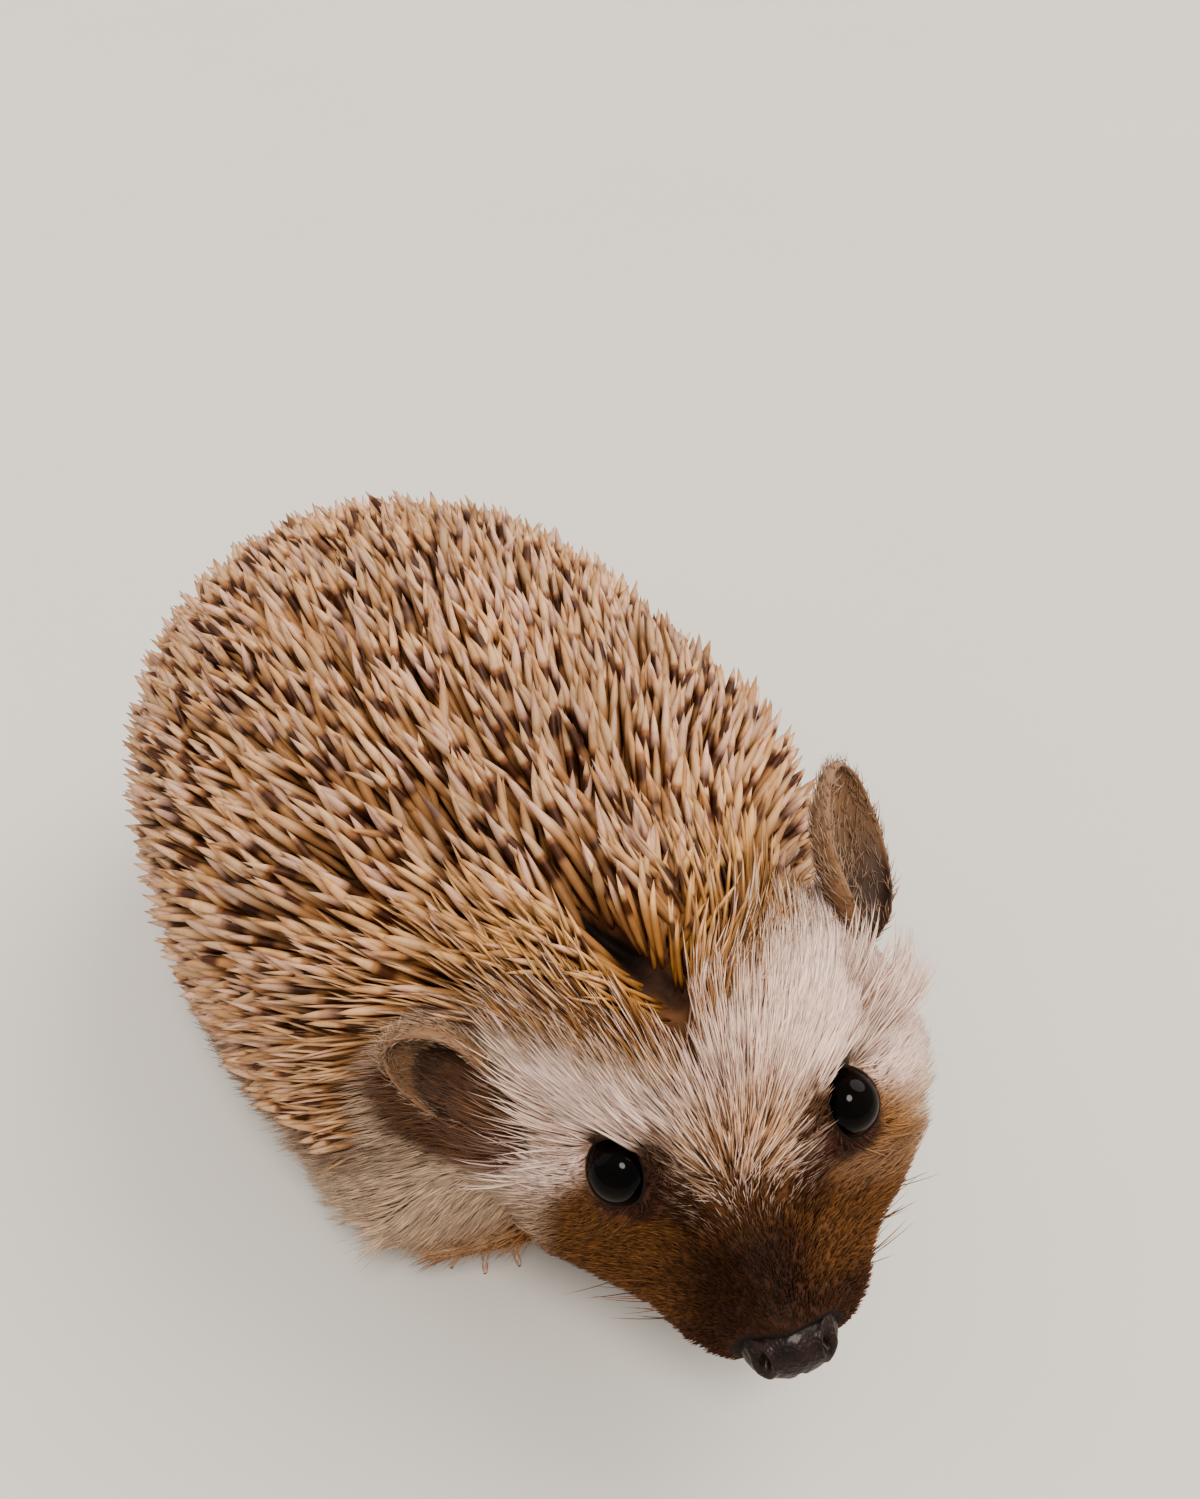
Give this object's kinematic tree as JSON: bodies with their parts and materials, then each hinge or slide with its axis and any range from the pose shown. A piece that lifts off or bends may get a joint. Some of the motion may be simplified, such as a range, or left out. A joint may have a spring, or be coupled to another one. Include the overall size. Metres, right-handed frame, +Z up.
{
  "type": "hedgehog",
  "caption": "Crouching African pygmy hedgehog with a domed coat of banded spines, pale brow and skirt fur, brown mask, rounded ears and clawed feet.",
  "frame": {"origin": "centre of the bounding box on the floor, under the standing animal", "axes": "+Z up, +Y towards the tail, -Y towards the nose, +X to the animal's left"},
  "size_m": [0.0824, 0.1378, 0.0584],
  "materials": {
    "spines": "satin banded keratin, cream with dark brown bands",
    "face_fur": "soft pale cream fur",
    "mask_fur": "short matt brown fur",
    "nose_skin": "moist dark skin",
    "ear_skin": "thin brown skin",
    "bare_skin": "pinkish skin with fine hairs",
    "eye": "wet glossy black",
    "claw": "translucent pale horn"
  },
  "bodies": {
    "root": {"trunk": "spines", "neck": "spines", "head": "face_fur", "snout": "mask_fur", "lower_jaw": "mask_fur", "nose": "nose_skin", "tail": "bare_skin", "eye_left": "eye", "ear_left": "ear_skin", "foreleg_left": "face_fur", "forefoot_left": "bare_skin", "forefoot_left_claw_1": "claw", "forefoot_left_claw_2": "claw", "forefoot_left_claw_3": "claw", "forefoot_left_claw_4": "claw", "forefoot_left_claw_5": "claw", "hindleg_left": "face_fur", "hindfoot_left": "bare_skin", "hindfoot_left_claw_1": "claw", "hindfoot_left_claw_2": "claw", "hindfoot_left_claw_3": "claw", "hindfoot_left_claw_4": "claw", "eye_right": "eye", "ear_right": "ear_skin", "foreleg_right": "face_fur", "forefoot_right": "bare_skin", "forefoot_right_claw_1": "claw", "forefoot_right_claw_2": "claw", "forefoot_right_claw_3": "claw", "forefoot_right_claw_4": "claw", "forefoot_right_claw_5": "claw", "hindleg_right": "face_fur", "hindfoot_right": "bare_skin", "hindfoot_right_claw_1": "claw", "hindfoot_right_claw_2": "claw", "hindfoot_right_claw_3": "claw", "hindfoot_right_claw_4": "claw"}
  },
  "joints": []
}
